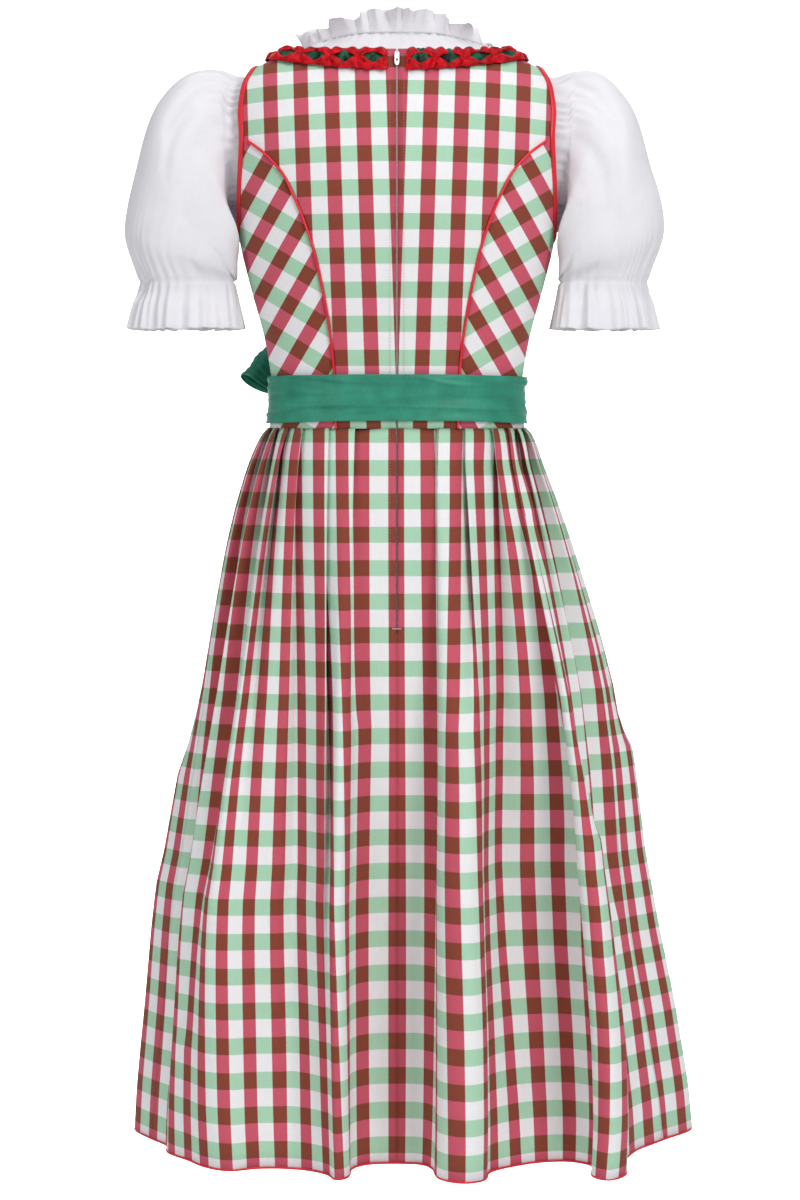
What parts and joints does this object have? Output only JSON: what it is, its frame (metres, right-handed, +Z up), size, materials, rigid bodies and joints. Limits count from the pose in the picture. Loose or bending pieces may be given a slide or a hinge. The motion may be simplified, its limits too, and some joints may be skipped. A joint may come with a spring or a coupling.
{
  "type": "dirndl dress with blouse and apron",
  "caption": "Checked dirndl filled out as worn: princess bodice, pleated calf-length skirt, satin apron with tie and bow, puff-sleeved white blouse, ruched neckline, back zip.",
  "frame": {"origin": "midway between the shoulders, level with the tops of the straps, where a hanger or the wearer's shoulders hold it", "axes": "+Z up, +Y out of the back of the dress, +X towards the wearer's left"},
  "size_m": [0.5714, 0.4615, 1.1141],
  "materials": {
    "check_cotton": "woven check cotton, red and green stripes on white",
    "red_satin": "red satin ribbon",
    "green_satin": "dark green satin",
    "white_cotton": "plain white cotton",
    "zip_metal": "white metal",
    "zip_tape": "woven zip tape"
  },
  "bodies": {
    "dress": {"apron_band": "green_satin", "apron_skirt": "green_satin", "apron_tie": "green_satin", "binding_left": "red_satin", "binding_right": "red_satin", "blouse_back": "white_cotton", "blouse_front": "white_cotton", "bodice_back_left": "check_cotton", "bodice_back_right": "check_cotton", "bodice_front_centre": "check_cotton", "bodice_side_back_left": "check_cotton", "bodice_side_back_right": "check_cotton", "bodice_side_front_left": "check_cotton", "bodice_side_front_right": "check_cotton", "bow_knot": "green_satin", "bow_loop_back": "green_satin", "bow_loop_front": "green_satin", "bow_tail_long": "green_satin", "bow_tail_short": "green_satin", "hem_piping": "red_satin", "neck_ruche": "red_satin", "neck_ruffle": "white_cotton", "piping_back_left": "red_satin", "piping_back_right": "red_satin", "piping_front_left": "red_satin", "piping_front_right": "red_satin", "skirt_back_left": "check_cotton", "skirt_back_right": "check_cotton", "skirt_front": "check_cotton", "sleeve_left": "white_cotton", "sleeve_right": "white_cotton", "zip_slider": "zip_metal", "zip_tape": "zip_tape"},
    "zip_pull": {"zip_pull_tab": "zip_metal"}
  },
  "joints": [
    {"name": "zip_tab_hinge", "type": "hinge", "parent": "dress", "child": "zip_pull", "pos_m": [0, 0.0665, 0.0014], "axis": [1, 0, 0], "range_deg": [0, 140]}
  ]
}
